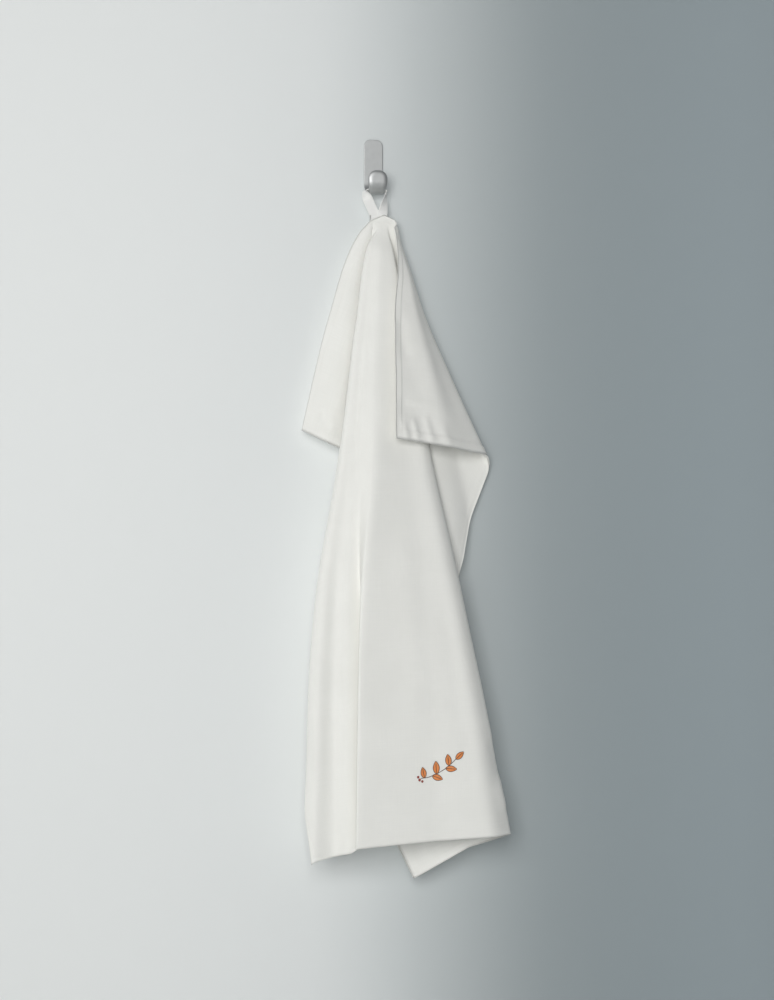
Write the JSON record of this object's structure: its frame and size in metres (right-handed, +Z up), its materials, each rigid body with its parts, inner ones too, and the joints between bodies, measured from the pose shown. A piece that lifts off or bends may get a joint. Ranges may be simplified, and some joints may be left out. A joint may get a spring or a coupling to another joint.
{
  "type": "tea towel on wall hook",
  "caption": "Plain white tea towel hanging by the tape loop at the middle of its short edge from a flat steel wall hook, in its own folds.",
  "frame": {"origin": "middle of the hook's flat back face, on the wall plane", "axes": "+Z up, +Y into the wall, +X to the right as seen by someone who faces the wall"},
  "size_m": [0.2324, 0.0857, 0.8215],
  "materials": {
    "cloth": "plain-woven bleached linen, matt",
    "tape": "woven cotton tape, matt",
    "hook": "satin"
  },
  "bodies": {
    "root": {"towel": "cloth", "hanging_loop": "tape", "wall_hook": "hook"}
  },
  "joints": []
}
